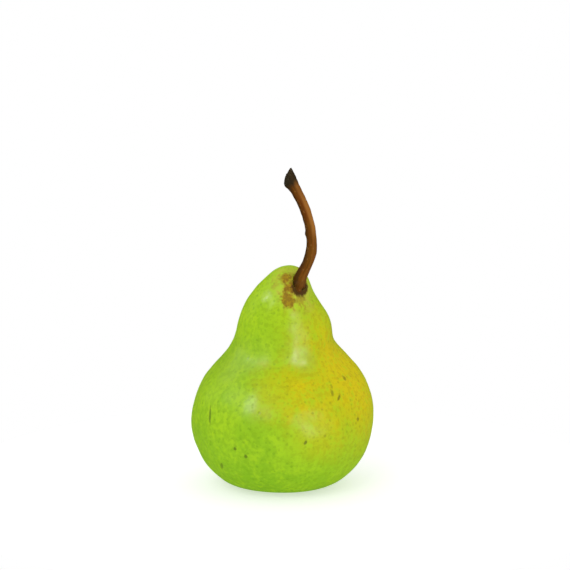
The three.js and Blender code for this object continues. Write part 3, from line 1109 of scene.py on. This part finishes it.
def softbox(name, place, size, power, roll=0):
    """An area light that faces the pear from an azimuth, elevation and distance. The azimuth is from the
    pear's front, positive to its right. A roll leans its top to the pear's left, in degrees."""
    azimuth, elevation, distance = place
    light = bpy.data.lights.new(name, "AREA")
    light.shape = "RECTANGLE"
    light.size, light.size_y = size
    light.energy = power
    turn = math.radians(azimuth)
    rise = math.radians(elevation)
    away = Vector((math.sin(turn) * math.cos(rise), -math.cos(turn) * math.cos(rise), math.sin(rise)))
    lamp = add_object(name, light)
    lamp.location = Vector((0, 0, LIGHT_AIM_HEIGHT)) + away * distance
    facing = (-away).to_track_quat("-Z", "Y") @ Quaternion((0, 0, 1), math.radians(roll))
    lamp.rotation_euler = facing.to_euler()
    return lamp


def surround(stage):
    """Even white light all round. The camera sees pure white, and reflections a dimmer room, so that the
    softboxes draw the highlights."""
    graph = Graph(bpy.data.worlds.new("white_room"))
    seen = graph.node("ShaderNodeLightPath", output="Is Camera Ray")
    reflected = graph.node("ShaderNodeLightPath", output="Is Glossy Ray")
    level = stage.ambient + seen * (1 - stage.ambient)
    level = level + reflected * (stage.reflected_room - stage.ambient)
    room = graph.node("ShaderNodeBackground", inputs={"Color": (1, 1, 1, 1), "Strength": level})
    graph.node("ShaderNodeOutputWorld", inputs={"Surface": room}, output=None)
    bpy.context.scene.world = graph.owner


class PEAR_OT_stage(Operator):
    """Set the floor, the soft light and the camera"""

    bl_idname = "pear.stage"
    bl_label = "Set Stage"

    def execute(self, context):
        stage = context.scene.pear_stage
        rim = (ring(FLOOR_SIDES) * stage.floor_radius).tolist()
        mesh = bpy.data.meshes.new("floor")
        mesh.from_pydata(rim, [], [range(len(rim))])
        floor = add_object("floor", mesh)
        floor.data.materials.append(floor_material(stage))
        floor.visible_glossy = False

        surround(stage)
        softbox("key", (-24, 36, 0.9), (0.5, 0.5), stage.key).visible_glossy = False
        for name, place, size, power, roll in (
            ("left_softbox", (-44, 33, 0.9), (0.11, 0.5), stage.left_box, 30),
            ("right_softbox", (23, 6, 0.6), (0.03, 0.26), stage.right_box, 28),
            ("neck_softbox", (42, -3, 0.6), (0.34, 0.16), stage.neck_box, 0),
            ("low_softbox", (38, 24, 0.6), (0.09, 0.08), stage.low_box, 0),
            ("crown_softbox", (-80, 31, 0.9), (0.08, 0.12), stage.crown_box, 0),
            ("side_softbox", (-108, 28, 0.8), (0.5, 0.56), stage.side_box, 0),
        ):
            softbox(name, place, size, power, roll).visible_diffuse = False

        data = bpy.data.cameras.new("camera")
        data.lens = stage.lens
        data.sensor_width = 36
        camera = add_object("camera", data)
        away = Vector((0, -math.cos(stage.camera_elevation), math.sin(stage.camera_elevation)))
        camera.location = Vector((0, 0, CAMERA_PIVOT_HEIGHT)) + away * stage.camera_distance
        facing = Vector(CAMERA_AIM) - camera.location
        camera.rotation_euler = facing.to_track_quat("-Z", "Y").to_euler()
        context.scene.camera = camera
        context.scene.view_settings.view_transform = "Standard"
        return {"FINISHED"}


class PEAR_PT_panel(Panel):
    """The pear's settings and steps"""

    bl_idname = "PEAR_PT_panel"
    bl_label = "Pear"
    bl_space_type = "VIEW_3D"
    bl_region_type = "UI"
    bl_category = "Pear"

    def draw(self, context):
        for group, operator in zip(GROUPS, OPERATORS):
            box = self.layout.box()
            settings = getattr(context.scene, group)
            for name in settings.__annotations__:
                box.prop(settings, name)
            box.operator(operator.bl_idname)


GROUPS = {
    "pear_fruit": PearFruitSettings,
    "pear_stem": PearStemSettings,
    "pear_calyx": PearCalyxSettings,
    "pear_stage": PearStageSettings,
}
OPERATORS = (PEAR_OT_fruit, PEAR_OT_stem, PEAR_OT_calyx, PEAR_OT_stage)
CLASSES = (*GROUPS.values(), *OPERATORS, PEAR_PT_panel)


def register():
    for cls in CLASSES:
        bpy.utils.register_class(cls)
    for name, group in GROUPS.items():
        setattr(bpy.types.Scene, name, PointerProperty(type=group))


def unregister():
    for name in GROUPS:
        delattr(bpy.types.Scene, name)
    for cls in reversed(CLASSES):
        bpy.utils.unregister_class(cls)


def main():
    register()
    bpy.ops.pear.fruit()
    bpy.ops.pear.stem()
    bpy.ops.pear.calyx()
    bpy.ops.pear.stage()


if __name__ == "__main__":
    main()
